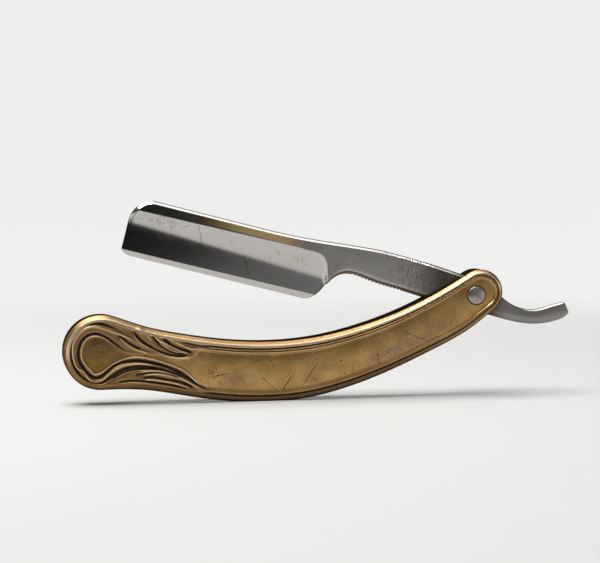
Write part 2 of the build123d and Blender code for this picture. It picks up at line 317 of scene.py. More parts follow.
def bladeSteel(look):
    finish = Finish(bpy.data.materials.new("bladeSteel"))
    turn = math.radians(-blade["tilt"])
    here = finish.place(turn)
    tang = finish.mark("tang")
    tarnish = finish.mark("tarnish")
    bronzed = finish.mark("bronzed")
    filed = finish.mark("filed")
    rim = finish.mark("rim")
    cloud = finish.noise(here, 0.12, 4.0, 0.6, 21.0)
    fine = finish.noise(here, 2.2, 4.0, 0.6, 22.0)
    # File marks across the tang
    across = finish.noise(finish.place(turn, (2.3, 0.4, 0.26)), 1.0, 2.5, 0.6, 23.0)
    cuts = finish.between(across, 0.5, 0.4) * filed
    metal = finish.paint(look["bright"], look["grey"], tang * finish.between(fine + cloud * 0.4, 0.3, 1.0))
    patches = finish.noise(here, 0.35, 2.0, 0.5, 25.0)
    largePits = finish.pits(here, 2.0, 0.13, 24.0) * finish.between(patches, 0.42, 0.52)
    smallPits = finish.pits(here, 1.1, 0.15, 29.0) * finish.between(patches, 0.5, 0.4)
    specks = limited(largePits + smallPits * 0.7)
    rust = finish.between(finish.noise(here, 0.9, 4.0, 0.65, 26.0) + tarnish * 0.22, 0.5, 0.8) * tarnish
    metal = finish.paint(metal, look["rust"], limited(rust * 0.85 + specks * 0.8))
    # Painted shade along the underside, and the file cuts, in brown
    metal = finish.paint(metal, look["brown"], limited(rim * (0.75 + fine * 0.4) + cuts * 0.7))
    old = finish.mark("patina") * finish.between(fine + cloud * 0.5, 0.2, 0.9, 0.55, 1.0)
    metal = finish.paint(metal, look["patina"], old)
    # Gilding along the back, which goes over into bronze, and a painted highlight along the top edge
    gilt = finish.mark("gilt") * finish.between(fine, 0.2, 0.6, 0.75, 1.0)
    metal = finish.paint(metal, finish.paint(look["bronze"], look["gold"], gilt), bronzed)
    metal = finish.paint(metal, look["tail"], finish.mark("tail") * 0.75)
    bare = finish.mark("bare") * finish.between(fine, 0.1, 0.5, 0.7, 1.0)
    metal = finish.paint(metal, look["bare"], bare)
    # Painted shade: a dark line along the rounding at the top of the spine
    metal = finish.paint(metal, look["outline"], finish.mark("outline") * 0.85)
    lines = limited(finish.scratches(78, 30, 1.3, 0.44, 27.0) + finish.scratches(30, 30, 1.6, 0.4, 28.0))
    wander = finish.noise(here, 0.5, 2.0, 0.6, 15.0)
    for start, end, width in look["gashes"]:
        lines = limited(lines + finish.gash(here, wander, start, end, width))
    metal = finish.paint(metal, look["brown"], lines * 0.6)
    rough = tang * (look["satin"] - look["polished"]) + look["polished"] + rust * 0.25 + fine * 0.05
    rough = rough + bronzed * 0.25 + rim * 0.2
    relief = finish.bumpy(fine * 0.3 * tang - cuts - specks * 0.3 - lines * 0.05, 0.06)
    return finish.surface(**{
        "Base Color": metal,
        "Metallic": finish.between(rust + specks, 1.2, 0.2, 0.35, 1.0),
        "Roughness": limited(rough),
        "Normal": relief,
    })


pinLook = {
    "metal": (0.36, 0.325, 0.285),
    "pit": (0.07, 0.055, 0.045),
    "roughness": 0.24,
    "dents": [((0.2, -0.9), (0.75, -0.45), 0.2), ((-0.3, -1.8), (0.0, -1.6), 0.16)],
}


def pinSteel(look):
    finish = Finish(bpy.data.materials.new("pinSteel"))
    here = finish.place()
    fine = finish.noise(here, 1.6, 4.0, 0.6, 31.0)
    patches = finish.noise(here, 0.7, 1.0, 0.5, 33.0)
    pits = finish.pits(here, 1.4, 0.24, 32.0) * finish.between(patches, 0.36, 0.5) * 0.7
    for start, end, width in look["dents"]:
        pits = pits + finish.gash(here, fine, start, end, width)
    pits = limited(pits)
    dark = limited(pits + finish.between(fine, 0.6, 0.8) * 0.4)
    metal = finish.paint(look["metal"], look["pit"], dark)
    return finish.surface(**{
        "Base Color": metal,
        "Metallic": 1.0,
        "Roughness": look["roughness"] + fine * 0.15 + pits * 0.3,
        "Normal": finish.bumpy(fine * 0.4 - pits, 0.12),
    })


plainLooks = {
    "collarIron": {
        "base": (0.055, 0.045, 0.035), "worn": (0.12, 0.085, 0.05),
        "roughness": 0.4, "metallic": 0.8, "seed": 41.0,
    },
    "linerBlack": {
        "base": (0.012, 0.011, 0.010), "worn": (0.035, 0.028, 0.022),
        "roughness": 0.45, "metallic": 0.0, "seed": 43.0,
    },
    "wedgeBrass": {
        "base": (0.42, 0.29, 0.10), "worn": (0.20, 0.13, 0.07),
        "roughness": 0.35, "metallic": 1.0, "seed": 45.0,
    },
    "washerBrass": {
        "base": (0.50, 0.35, 0.13), "worn": (0.25, 0.16, 0.08),
        "roughness": 0.3, "metallic": 1.0, "seed": 47.0,
    },
}


def plainMetal(name):
    # One colour with clouds of another and a fine tooth, for the small pieces and the hidden ones
    look = plainLooks[name]
    finish = Finish(bpy.data.materials.new(name))
    here = finish.place()
    cloud = finish.noise(here, 0.5, 4.0, 0.6, look["seed"])
    fine = finish.noise(here, 3.0, 3.0, 0.6, look["seed"] + 1)
    return finish.surface(**{
        "Base Color": finish.paint(look["base"], look["worn"], finish.between(cloud, 0.42, 0.68)),
        "Metallic": look["metallic"],
        "Roughness": look["roughness"] + fine * 0.2,
        "Normal": finish.bumpy(fine, 0.03),
    })


# Curves are in millimetres from the pivot, along the razor and up
def towards(angle):
    return np.stack([np.cos(np.radians(angle)), np.sin(np.radians(angle))], -1)


def curveThrough(points, spacing, startAngle=None, endAngle=None):
    # An even row of points on the smoothest curve through a few, with its directions
    knots = np.array(points, float)
    steps = np.linalg.norm(np.diff(knots, axis=0), axis=1)
    count = len(knots)
    system = np.zeros((count, count))
    wanted = np.zeros((count, 2))
    for k in range(1, count - 1):
        before, after = 1 / steps[k - 1], 1 / steps[k]
        system[k, k - 1:k + 2] = before, 2 * (before + after), after
        wanted[k] = 3 * ((knots[k] - knots[k - 1]) * before**2 + (knots[k + 1] - knots[k]) * after**2)
    for end, beside, angle in ((0, 1, startAngle), (-1, -2, endAngle)):
        if angle is None:
            system[end, end], system[end, beside] = 2, 1
            wanted[end] = 3 * (knots[1] - knots[0] if end == 0 else knots[-1] - knots[-2]) / steps[end]
        else:
            system[end, end] = 1
            wanted[end] = towards(angle)
    slopes = np.linalg.solve(system, wanted)
    total = steps.sum()
    places = np.linspace(0, total, max(2, int(total / spacing)) + 1)
    starts = np.concatenate([[0], np.cumsum(steps)])
    span = np.clip(np.searchsorted(starts, places, "right") - 1, 0, count - 2)
    size = steps[span][:, None]
    t = (places - starts[span])[:, None] / size
    a, b = knots[span], knots[span + 1]
    u, v = slopes[span] * size, slopes[span + 1] * size
    fromStart = (2 * t**3 - 3 * t**2 + 1) * a + (t**3 - 2 * t**2 + t) * u
    return fromStart + (3 * t**2 - 2 * t**3) * b + (t**3 - t**2) * v


def alongLine(line, shares):
    # Points and directions at shares of a line's length
    steps = np.linalg.norm(np.diff(line, axis=0), axis=1)
    lengths = np.concatenate([[0], np.cumsum(steps)])
    places = np.asarray(shares) * lengths[-1]
    points = np.stack([np.interp(places, lengths, line[:, k]) for k in range(2)], -1)
    slopes = np.gradient(line, lengths, axis=0)
    directions = np.stack([np.interp(places, lengths, slopes[:, k]) for k in range(2)], -1)
    return points, directions / np.linalg.norm(directions, axis=1)[:, None]


def nearest(line, points, reach):
    # How far each point is from a line, and at what share of its length, for those within reach
    gap = np.full(len(points), 1e9)
    share = np.zeros(len(points))
    low, high = line.min(0) - reach, line.max(0) + reach
    near = np.flatnonzero(((points > low) & (points < high)).all(1))
    picked = points[near]
    best = np.full(len(near), 1e9)
    where = np.zeros(len(near))
    steps = np.linalg.norm(np.diff(line, axis=0), axis=1)
    run = 0.0
    for start, end, step in zip(line[:-1], line[1:], steps):
        part = np.clip((picked - start) @ (end - start) / step**2, 0, 1)
        away = np.linalg.norm(picked - start - part[:, None] * (end - start), axis=1)
        closer = away < best
        best[closer] = away[closer]
        where[closer] = run + part[closer] * step
        run += step
    gap[near] = best
    share[near] = where / run
    return gap, share


def softStep(value, low, high):
    t = np.clip((value - low) / (high - low), 0, 1)
    return t * t * (3 - 2 * t)


def insideOf(line, points):
    # True for the points that a closed line surrounds
    inside = np.zeros(len(points), bool)
    x, z = points.T
    for (ax, az), (bx, bz) in zip(line, np.roll(line, -1, axis=0)):
        if az != bz:
            crosses = ((az > z) != (bz > z)) & (x < ax + (z - az) * (bx - ax) / (bz - az))
            inside ^= crosses
    return inside


def wrapGrid(name, across, along, shapePoints, marks):
    # A grid bent to the given points, one row of them to each station, and welded into a closed shell
    shell = bmesh.new()
    bmesh.ops.create_grid(shell, x_segments=along - 1, y_segments=across - 1, size=1.0)
    mesh = bpy.data.meshes.new(name)
    shell.to_mesh(mesh)
    shell.free()
    flat = np.zeros(len(mesh.vertices) * 3, np.float32)
    mesh.vertices.foreach_get("co", flat)
    flat = flat.reshape(-1, 3)
    column = np.rint((flat[:, 0] + 1) / 2 * (along - 1)).astype(int)
    row = np.rint((flat[:, 1] + 1) / 2 * (across - 1)).astype(int)
    mesh.vertices.foreach_set("co", shapePoints[column, row].astype(np.float32).ravel())
    for mark, values in marks.items():
        attribute = mesh.attributes.new(mark, "FLOAT", "POINT")
        attribute.data.foreach_set("value", values[column, row].astype(np.float32).ravel())
    shell = bmesh.new()
    shell.from_mesh(mesh)
    bmesh.ops.remove_doubles(shell, verts=shell.verts, dist=0.002 * mm)
    bmesh.ops.dissolve_degenerate(shell, edges=shell.edges, dist=0.001 * mm)
    bmesh.ops.recalc_face_normals(shell, faces=shell.faces)
    for face in shell.faces:
        face.smooth = True
    shell.to_mesh(mesh)
    shell.free()
    return mesh


def addPiece(name, mesh, body, material, replaced):
    piece = bpy.data.objects.new(name, mesh)
    bpy.context.scene.collection.objects.link(piece)
    mesh.materials.clear()
    mesh.materials.append(material)
    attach(piece, body)
    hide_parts(replaced)
    return piece


# Scales: cast brass with a relief, one at the front and its mirror image at the back
scale = {
    "bulbCentre": (-139.5, -18.7),
    "bulbRadius": 13.4,
    "bulbAngles": (75, 174, -88),
    "endCentre": (2.1, 1.1),
    "endRadius": 8.4,
    "endAngles": (121, 33.5, -54),
    "upperEdge": [
        (-125.6, -9.3), (-109.0, -13.1), (-91.1, -15.5), (-74.5, -15.9), (-59.5, -14.4),
        (-44.4, -10.9), (-29.2, -5.7), (-14.0, 1.5),
    ],
    "lowerEdge": [
        (-122.0, -32.7), (-111.4, -34.5), (-96.7, -36.9), (-81.2, -37.9), (-67.0, -37.2),
        (-53.4, -34.5), (-35.2, -28.4), (-16.9, -20.3), (-0.5, -11.4),
    ],
    "backFaceAtPivot": 3.35,
    "lean": 0.55 / 139.5,
    "thickness": 2.4,
    "wallHeight": 0.9,
    "rimRounding": 2.05,
    "borderDepth": 5.0,
    "fieldHeight": 2.0,
    "fieldCrown": 0.32,
    "leafHeight": 2.24,
    "pinBossHeight": 2.36,
    "ornamentEnd": 38.0,
    "bulbSteps": 78,
    "ornamentSteps": 150,
    "plainSteps": 110,
    "endSteps": 30,
}

# The lines of the border: how far in from the edge, half width, height
borderLines = {
    "groove": (2.5, 0.26, -0.5),
    "thread": (3.1, 0.20, 0.12),
    "innerGroove": (3.5, 0.18, -0.18),
    "edgeLine": (3.9, 0.22, 0.2),
}

# The lines of the relief at the bulb, in millimetres from the wedge pin: half width, height, points
ornamentGrooves = [
    (0.50, 0.75, [
        (34.1, -12.9), (28.9, -9.8), (23.7, -7.7), (17.7, -6.4), (11.7, -6.1), (5.3, -8.4),
        (-0.2, -11.6), (-4.7, -10.7), (-8.3, -7.2), (-10.6, -0.8), (-8.7, 6.4), (-2.1, 9.8), (1.7, 9.2),
        (7.1, 7.1), (10.4, 5.7)
    ]),
    (0.55, 0.85, [
        (32.4, -10.9), (25.4, -6.9), (19.1, -4.9), (11.7, -3.9), (5.3, -5.3), (1.4, -8.4), (-0.9, -9.7),
        (-2.7, -9.4), (-4.5, -8.0), (-7.2, -4.0), (-7.8, -1.3), (-7.3, 1.9), (-5.3, 4.8), (-1.7, 6.0),
        (2.0, 4.7), (7.7, 0.8), (12.0, -1.0)
    ]),
    (0.60, 0.70, [
        (25.0, -6.4), (28.0, -8.4), (32.5, -11.2), (34.9, -13.0), (37.6, -14.3), (41.1, -15.8),
        (44.9, -16.6)
    ]),
    (0.50, 0.45, [
        (6.1, 5.8), (9.8, 2.9), (12.7, 1.1), (15.3, -0.2)
    ]),
    (0.60, 0.70, [
        (11.2, 8.0), (13.2, 4.8), (17.3, 1.4), (19.4, 0.1), (23.1, -1.5), (28.6, -2.5), (32.5, -2.4)
    ]),
    (0.40, 0.50, [
        (17.8, 6.6), (18.9, 4.7), (21.5, 1.6), (24.4, -0.3), (28.9, -1.9), (32.4, -2.4)
    ]),
    (0.70, 0.60, [
        (21.6, 5.8), (23.4, 3.3), (27.8, 0.4), (33.6, -1.5)
    ]),
    (0.45, 0.50, [
        (24.5, 4.7), (29.7, 2.8), (35.7, 1.1), (41.3, 0.4)
    ]),
    (0.45, 0.55, [
        (3.1, -10.7), (9.0, -7.7), (16.3, -6.8), (23.1, -7.2)
    ]),
    (0.40, 0.45, [
        (11.3, -9.3), (17.2, -8.3), (24.5, -9.0), (29.5, -11.0)
    ]),
    (0.55, 0.50, [
        (13.9, -10.3), (18.1, -9.9), (22.8, -10.7), (28.0, -11.8), (32.3, -13.5), (34.2, -14.8)
    ]),
    (0.40, 0.55, [
        (4.2, -12.2), (9.9, -11.1), (18.1, -11.7), (26.3, -13.2), (33.2, -14.9)
    ]),
    (0.40, 0.45, [
        (11.7, -13.3), (16.3, -13.3), (23.0, -14.2), (25.4, -14.5)
    ]),
]
ornamentRidges = [
    (0.42, 0.24, [
        (25.4, -7.4), (21.1, -6.1), (14.5, -5.0), (8.1, -5.7), (2.6, -8.7), (0.0, -10.9), (-3.8, -10.4),
        (-6.6, -6.9), (-7.8, -6.5), (-9.3, -4.2), (-9.9, -0.1), (-9.4, 3.3), (-7.7, 6.0), (-5.3, 8.0),
        (-2.5, 8.7), (1.7, 7.7), (4.8, 6.6), (8.4, 5.1), (12.5, 3.2), (16.6, -0.2)
    ]),
    (0.40, 0.22, [
        (44.9, -16.1), (39.3, -14.7), (34.2, -11.8), (31.5, -9.0), (24.6, -5.5), (18.1, -3.4),
        (11.4, -2.6), (6.0, -4.1), (2.6, -6.1), (0.0, -8.1), (-1.8, -8.4), (-4.0, -6.4), (-6.5, -2.9),
        (-6.8, -0.9), (-6.4, 1.9), (-4.8, 4.3), (-1.9, 5.3), (0.4, 4.9), (4.6, 2.1), (8.4, -0.2),
        (11.8, -1.5)
    ]),
    (0.35, 0.18, [
        (6.1, 5.2), (8.4, 3.1), (11.2, 0.9), (15.3, -0.7), (18.0, -1.4)
    ]),
    (0.40, 0.26, [
        (11.1, 7.9), (12.6, 4.4), (16.7, 1.0), (19.9, -0.6), (24.4, -2.5), (28.9, -3.2), (31.9, -3.0),
        (33.9, -2.1)
    ]),
    (0.25, 0.14, [
        (16.2, 6.5), (16.9, 5.2), (18.5, 3.0)
    ]),
    (0.42, 0.26, [
        (18.3, 6.4), (20.7, 3.5), (24.4, 1.5), (28.9, -0.7), (33.0, -1.8)
    ]),
    (0.28, 0.16, [
        (20.7, 2.5), (24.4, 0.0), (28.9, -1.4)
    ]),
    (0.36, 0.22, [
        (22.7, 5.9), (26.7, 3.9), (31.2, 2.4), (36.4, 1.3), (41.3, 1.0)
    ]),
    (0.36, 0.20, [
        (25.2, 3.6), (28.2, 2.0), (32.7, 0.0), (35.7, -0.1), (41.3, -0.9), (48.2, -1.7)
    ]),
    (0.38, 0.24, [
        (11.7, -8.5), (15.4, -7.9), (21.1, -7.9), (26.3, -9.4), (32.4, -12.5), (38.4, -15.4)
    ]),
    (0.32, 0.22, [
        (14.4, -9.3), (18.1, -8.9), (24.5, -9.5), (29.7, -11.2)
    ]),
    (0.34, 0.20, [
        (14.4, -10.7), (18.1, -10.9), (26.3, -12.3), (33.2, -14.7)
    ]),
    (0.34, 0.18, [
        (7.1, -12.1), (12.6, -12.0), (18.1, -12.5), (28.0, -14.3), (31.5, -15.0)
    ]),
]
ornamentLobes = [
    (1.3, 0.28, (13.9, 6.3)),
    (1.5, 0.22, (8.1, -9.9)),
    (1.2, 0.16, (-8.1, 0.5)),
]

# The sunk field at the bulb: round the cartouche, under the leaves, out to the panel
fieldEdge = [
    (56.0, -17.0), (44.9, -16.1), (39.3, -14.7), (34.2, -11.8), (31.5, -9.0), (24.6, -5.5),
    (18.1, -3.4), (11.4, -2.6), (6.0, -4.1), (2.6, -6.1), (0.0, -8.1), (-1.8, -8.4), (-4.0, -6.4),
    (-6.5, -2.9), (-6.8, -0.9), (-6.4, 1.9), (-4.8, 4.3), (-1.9, 5.3), (0.4, 4.9), (4.6, 2.1),
    (8.4, -0.2), (11.8, -1.5), (18.0, -1.4), (24.4, -2.5), (28.9, -3.2), (31.9, -3.0), (33.9, -2.1),
    (35.7, -0.3), (41.3, -0.9), (48.2, -1.7), (56.0, -2.0),
]

# Tarnish and scuffs on the panel, in millimetres from the wedge pin:
# centre, angle, length, breadth, strength
stains = [
    ((49.0, -11.8), 5, 7.0, 2.6, 1.0),
    ((110.0, -1.6), 24, 12.0, 2.6, 1.0),
    ((81.0, -8.8), 12, 8.0, 2.4, 0.7),
    ((126.0, 5.0), 30, 8.0, 3.0, 0.6),
    ((-1.0, 2.0), 0, 9.0, 5.0, 0.5),
]
scuffs = [
    ((39.9, -8.2), -10, 3.6, 2.4, 1.0),
    ((66.0, -7.5), 40, 4.0, 2.2, 0.6),
    ((104.0, -3.0), 30, 7.0, 3.0, 0.7),
    ((122.0, 8.0), 30, 9.0, 4.0, 0.6),
]


def fadedEnds(share, part=0.14):
    return softStep(share, 0.0, part) * softStep(share, 1.0, 1 - part)


def relief(points, inset, middleShare, lowerSide, alongShare):
    # Height of the front face over the back face, and where the dirt and the wear lie
    fromPin = points - np.array([wedgePin.x, wedgePin.z]) / mm
    ornament = softStep(fromPin[:, 0], scale["ornamentEnd"] + 4, scale["ornamentEnd"] - 4)
    plain = 1 - ornament

    # Plain part: rim bead, groove, thread and edge line, which fade out on the lower side
    place = inset * np.where(lowerSide, 1.08, 1.0)
    field = softStep(place, 3.4, 4.7)
    height = scale["thickness"] - (scale["thickness"] - scale["fieldHeight"]) * field
    height -= 0.12 * softStep(place, 1.9, 2.4)
    height += scale["fieldCrown"] * (1 - (1 - middleShare)**2)
    height *= plain
    groove = np.zeros(len(points))
    ridge = np.zeros(len(points))
    for name, (centre, width, rise) in borderLines.items():
        # Only the main groove runs on along the lower side
        present = plain * np.where(lowerSide & (name != "groove"), softStep(alongShare, 0.93, 1.0), 1.0)
        width = np.where(lowerSide, width * 1.4, width)
        line = np.exp(-((place - centre) / width)**2) * present
        height += line * rise
        if rise < 0:
            groove += line * (1.0 if name == "groove" else 0.7)
        else:
            ridge += line * (0.6 if name == "thread" else 1.0)

    # Bulb: the cast leaves round a sunk cartouche
    closed = curveThrough(fieldEdge, 0.4)
    edgeGap, _ = nearest(closed, fromPin, 3.0)
    sunk = np.where(insideOf(closed, fromPin), edgeGap, -edgeGap)
    sunk = softStep(sunk, -0.3, 0.5)
    crown = scale["fieldCrown"] * (1 - (1 - middleShare)**2) * softStep(fromPin[:, 0], 20, 45)
    rise = scale["pinBossHeight"] - scale["fieldHeight"]
    boss = rise * np.exp(-(np.linalg.norm(fromPin, axis=1) / 4.2)**4)
    level = scale["leafHeight"] + (scale["fieldHeight"] - scale["leafHeight"] + crown + boss) * sunk
    rimBead = 0.16 * np.exp(-((inset - 1.6) / 0.9)**2)
    cast = level + rimBead
    for width, rise, centre in ornamentLobes:
        cast += rise * np.exp(-(np.linalg.norm(fromPin - np.array(centre), axis=1) / width)**2)
    for lines, sign in ((ornamentGrooves, -1), (ornamentRidges, 1)):
        for width, rise, knots in lines:
            gap, share = nearest(curveThrough(knots, 0.45), fromPin, 3.0)
            present = fadedEnds(share) * softStep(inset, 1.9, 2.7)
            cast += sign * rise * np.exp(-(gap / width)**2) * present
            marked = np.exp(-(gap / width / 0.8)**2) * present * ornament
            if sign < 0:
                groove = np.maximum(groove, marked)
            else:
                ridge = np.maximum(ridge, marked)
    leaves = (1 - sunk) * ornament * softStep(inset, 1.6, 3.2)
    # Painted shade in the sunk cartouche, carried by the groove mark
    groove = np.maximum(groove, 0.19 * sunk * softStep(fromPin[:, 0], 26, 4) * ornament)
    return height + cast * ornament, groove, ridge, leaves


def wear(points, inset, level):
    # Where the rim gets a painted highlight or painted shade, where the stains lie, and which part faces
    # upwards and gets painted shade.
    # Level is 0 at the lower edge of the scale and 1 at the upper one.
    fromPin = points - np.array([wedgePin.x, wedgePin.z]) / mm
    atBulb = softStep(fromPin[:, 0], 6, -8)
    above = np.maximum(softStep(level, 0.45, 0.7), atBulb * softStep(level, 0.15, 0.6))
    bead = softStep(inset, 0.8, 1.15) * softStep(inset, 2.4, 1.95)
    # Painted highlight on the rim bead, on the upper side and round the bulb
    rubbed = above * bead
    # Painted shade: the outer slope of the rim is brown all round, and below it is brown right across
    under = (1 - above) * softStep(inset, 2.35, 2.0) * softStep(fromPin[:, 0], -4, 20)
    paintedRimShade = np.maximum(np.where(inset < 3, softStep(inset, 1.35, 0.8) * 0.95, 0), under)
    # Painted shade along the lower rim, darker towards the bulb
    paintedLowerShade = under * (0.3 + 0.1 * softStep(inset, 1.0, 0.4)) * softStep(points[:, 0], 6, -30)
    # Painted shade, olive on the brass, over the upper part of the scale and over the bulb
    upper = softStep(level, 0.64, 0.97) * softStep(fromPin[:, 0], 30, 44)
    upper = np.maximum(upper, 0.9 * softStep(fromPin[:, 0], 30, 8))
    stained, scuffed = np.zeros(len(points)), np.zeros(len(points))
    for marks, spots in ((stained, stains), (scuffed, scuffs)):
        for centre, turn, long, short, strength in spots:
            away = fromPin - np.array(centre)
            direction = towards(turn)
            ahead = away @ direction
            aside = away @ np.array([-direction[1], direction[0]])
            marks += strength * np.exp(-(ahead / long)**2 - (aside / short)**2)
    return rubbed, paintedRimShade, upper, np.clip(stained, 0, 1), np.clip(scuffed, 0, 1), paintedLowerShade


def scaleStations():
    # Points on the upper and lower edge, the ways in from them, and the middle line between them
    bulb, end = np.array(scale["bulbCentre"]), np.array(scale["endCentre"])
    topAngle, tipAngle, bottomAngle = scale["bulbAngles"]
    endTop, endTip, endBottom = scale["endAngles"]
    first = bulb + towards(topAngle) * scale["bulbRadius"]
    last = end + towards(endTop) * scale["endRadius"]
    upper = curveThrough([first, *scale["upperEdge"], last], 0.1, topAngle - 90, endTop - 90)
    first = bulb + towards(bottomAngle) * scale["bulbRadius"]
    last = end + towards(endBottom) * scale["endRadius"]
    lower = curveThrough([first, *scale["lowerEdge"], last], 0.1, bottomAngle + 90, endBottom + 90)
    ornamentShare = 0.33
    shares = np.concatenate([
        np.linspace(0, ornamentShare, scale["ornamentSteps"], endpoint=False),
        np.linspace(ornamentShare, 1, scale["plainSteps"]),
    ])
    points = []
    for line, turn in ((upper, -1), (lower, 1)):
        place, way = alongLine(line, shares)
        points.append((place, np.stack([-way[:, 1], way[:, 0]], -1) * turn))
    bulbSteps, endSteps = scale["bulbSteps"], scale["endSteps"]
    bulbFans = [np.linspace(*angles, bulbSteps, endpoint=False)
                for angles in ((tipAngle, topAngle), (tipAngle - 360, bottomAngle))]
    endFans = [np.linspace(angle, endTip, endSteps + 1)[1:] for angle in (endTop, endBottom)]
    halves = []
    for (place, way), bulbFan, endFan in zip(points, bulbFans, endFans):
        roundBulb = bulb + towards(bulbFan) * scale["bulbRadius"]
        roundEnd = end + towards(endFan) * scale["endRadius"]
        halves.append((
            np.concatenate([roundBulb, place, roundEnd]),
            np.concatenate([-towards(bulbFan), way, -towards(endFan)]),
        ))
    core = (halves[0][0] + halves[1][0]) / 2
    core[:bulbSteps] = core[bulbSteps]
    core[-endSteps:] = core[-endSteps - 1]
    alongShare = np.concatenate([np.zeros(bulbSteps), shares, np.ones(endSteps)])
    return halves, core, alongShare


def scaleRows():
    # One half of the section, from the middle of the back, round the edge, to the middle of the front:
    # inset from the edge, share of the way on to the middle line, height, and 1 where the relief is
    depth, wall, rounding = scale["borderDepth"], scale["wallHeight"], scale["rimRounding"]
    rows = [(depth, 1.0, 0, 0), (depth, 0, 0, 0), (0.3, 0, 0, 0), (0.06, 0, 0, 0)]
    rows += [(0, 0, height, 0) for height in np.linspace(0.06, wall, 4)]
    for t in np.linspace(0, 1, 13)[1:-1]:
        rows.append((rounding * t, 0, wall + (scale["thickness"] - wall) * (1 - (1 - t)**1.6), 0))
    rows += [(inset, 0, 0, 1) for inset in np.linspace(rounding, depth, 20)]
    rows += [(depth, share, 0, 1) for share in np.linspace(0, 1, 35)[1:]]
    return np.array(rows)


def makeScaleMesh(name):
    halves, core, alongShare = scaleStations()
    # The border lines draw closer together towards the pivot
    closer = 1 - 0.24 * softStep(alongShare, 0.55, 0.95)
    topEdge, bottomEdge = halves[0][0], halves[1][0]
    half = scaleRows()
    layers = []
    for lowerSide in (False, True):
        edge, inward = halves[int(lowerSide)]
        rows = half[::-1] if lowerSide else half
        inset, share, height, carved = rows.T
        points = edge[:, None] + inward[:, None] * (inset * closer[:, None])[..., None]
        points = points + (core[:, None] - points) * share[None, :, None]
        shape = points.shape[:2]
        heights = np.broadcast_to(height, shape).copy()
        groove, ridge, leaves = np.zeros(shape), np.zeros(shape), np.zeros(shape)
        picked = np.broadcast_to(carved > 0, shape)
        insets = np.broadcast_to(inset, shape)[picked]
        shares = np.broadcast_to(share, shape)[picked]
        alongs = np.broadcast_to(alongShare[:, None], shape)[picked]
        lower = np.full(picked.sum(), lowerSide)
        made = relief(points[picked], insets, shares, lower, alongs)
        heights[picked], groove[picked], ridge[picked], leaves[picked] = made
        # The rounding below the rim follows the height that the relief gives it there
        border = heights[:, np.flatnonzero(carved)[-1 if lowerSide else 0]]
        rounding = (~picked) & (np.broadcast_to(height, shape) > scale["wallHeight"])
        heights = np.where(rounding, heights * border[:, None] / scale["thickness"], heights)
        insideRim = np.broadcast_to(height > 0.4, shape) | picked
        wide = np.broadcast_to(inset, shape)
        x, z = points[insideRim].T
        lowest = np.interp(x, np.maximum.accumulate(bottomEdge[:, 0]), bottomEdge[:, 1])
        highest = np.interp(x, np.maximum.accumulate(topEdge[:, 0]), topEdge[:, 1])
        level = np.clip((z - lowest) / np.maximum(highest - lowest, 0.5), 0, 1)
        rubbed, paintedRimShade, upper, stained, scuffed, paintedLowerShade = (np.zeros(shape) for _ in range(6))
        worn = wear(points[insideRim], wide[insideRim], level)
        for marks, values in zip((rubbed, paintedRimShade, upper, stained, scuffed, paintedLowerShade), worn):
            marks[insideRim] = values
        # The painted shade of the lower rim goes into the groove mark, and that of the rim slope into the
        # brown of the leaves
        groove = np.maximum(groove, paintedLowerShade)
        leaves = np.maximum(leaves, paintedRimShade)
        # Painted shade on the wall, and on the underside of the lower rim
        paintedEdgeShade = softStep(heights, 1.1, 0.5) * (1 - picked)
        if lowerSide:
            paintedEdgeShade = np.maximum(paintedEdgeShade, softStep(wide, 0.75, 0.4) * 0.9 * (1 - picked))
        layers.append((points, heights, groove, ridge, leaves, paintedEdgeShade, rubbed, upper, stained, scuffed))
    upper, lower = layers
    points = np.concatenate([upper[0], lower[0][:, 1:]], 1)
    heights, *values = (np.concatenate([a, b[:, 1:]], 1) for a, b in zip(upper[1:], lower[1:]))
    places = np.zeros((*points.shape[:2], 3))
    places[..., 0] = pivot.x + points[..., 0] * mm
    places[..., 1] = -(scale["backFaceAtPivot"] + scale["lean"] * points[..., 0] + heights) * mm
    places[..., 2] = np.maximum(pivot.z + points[..., 1] * mm, 0)
    marks = dict(zip(("groove", "ridge", "cast", "edge", "rubbed", "upper", "stained", "scuffed"), values))
    return wrapGrid(name, points.shape[1], points.shape[0], places, marks)


def mirrored(mesh, name):
    turned = bmesh.new()
    turned.from_mesh(mesh)
    bmesh.ops.scale(turned, vec=(1, -1, 1), verts=turned.verts)
    bmesh.ops.reverse_faces(turned, faces=turned.faces)
    other = bpy.data.meshes.new(name)
    turned.to_mesh(other)
    turned.free()
    return other


brass = agedBrass(brassLook)
frontMesh = makeScaleMesh("castFrontScale")
rearMesh = mirrored(frontMesh, "castRearScale")
addPiece("cast_front_scale", frontMesh, "handle", brass, "front_scale")
addPiece("cast_rear_scale", rearMesh, "handle", brass, "rear_scale")
print("scales made,", len(frontMesh.polygons), "faces each")


